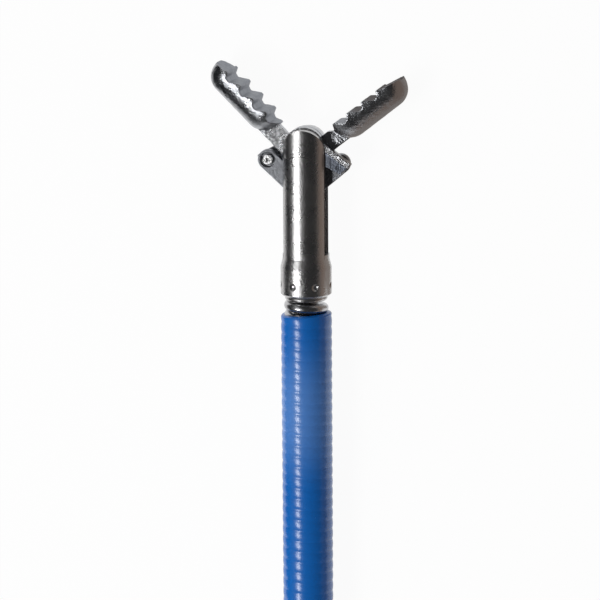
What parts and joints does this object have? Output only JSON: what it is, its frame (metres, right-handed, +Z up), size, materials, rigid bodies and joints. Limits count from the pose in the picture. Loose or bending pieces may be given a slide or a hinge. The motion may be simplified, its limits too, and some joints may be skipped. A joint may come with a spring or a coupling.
{
  "type": "endoscopic grasping forceps tip",
  "caption": "Toothed grasping jaws on a forked clevis, worked by a pull wire through short links, on a jacketed coil sheath.",
  "frame": {"origin": "centre of the sheath's cut end, on the instrument's axis", "axes": "+Y along the instrument towards the jaws, X across the swing of the jaws, +Z up out of the front arm, as it lies on a table"},
  "size_m": [0.0092, 0.0294, 0.0024],
  "materials": {
    "turned_steel": "satin, turned",
    "pin_steel": "bright, peened",
    "cast_steel": "satin, cast and tumbled",
    "link_steel": "satin, stamped",
    "spring_wire": "drawn, bright",
    "blue_jacket": "gloss"
  },
  "bodies": {
    "shaft": {"clevis": "turned_steel", "pivot_pin": "pin_steel", "sheath_connector": "turned_steel", "sheath_coil": "spring_wire", "sheath_jacket": "blue_jacket"},
    "left_jaw": {"left_jaw": "cast_steel", "right_tail_rivet": "pin_steel"},
    "right_jaw": {"right_jaw": "cast_steel", "left_tail_rivet": "pin_steel"},
    "left_link": {"left_link": "link_steel"},
    "right_link": {"right_link": "link_steel"},
    "pull_rod": {"pull_rod": "turned_steel", "rod_pin": "pin_steel", "pull_wire": "spring_wire"}
  },
  "joints": [
    {"name": "left_jaw_pivot", "type": "hinge", "parent": "shaft", "child": "left_jaw", "pos_m": [0, 0.0235, 0], "axis": [0, 0, -1], "range_deg": [0, 44.51]},
    {"name": "right_jaw_pivot", "type": "hinge", "parent": "shaft", "child": "right_jaw", "pos_m": [0, 0.0235, 0], "axis": [0, 0, 1], "range_deg": [0, 52.01]},
    {"name": "left_link_pivot", "type": "hinge", "parent": "right_jaw", "child": "left_link", "pos_m": [-0.0017, 0.02291, 0], "axis": [0, 0, -1], "range_deg": [0, 81.95]},
    {"name": "right_link_pivot", "type": "hinge", "parent": "left_jaw", "child": "right_link", "pos_m": [0.00161, 0.0227, 0], "axis": [0, 0, 1], "range_deg": [0, 76.96]},
    {"name": "pull_rod_slide", "type": "slide", "parent": "shaft", "child": "pull_rod", "axis": [0, -1, 0], "range_m": [0, 0.00166]}
  ],
  "couplings": [
    {"joint": "left_jaw_pivot", "follows": "pull_rod_slide", "rad_per_m": 468.32},
    {"joint": "right_jaw_pivot", "follows": "pull_rod_slide", "rad_per_m": 547.25},
    {"joint": "left_link_pivot", "follows": "pull_rod_slide", "rad_per_m": 862.37},
    {"joint": "right_link_pivot", "follows": "pull_rod_slide", "rad_per_m": 809.86}
  ]
}
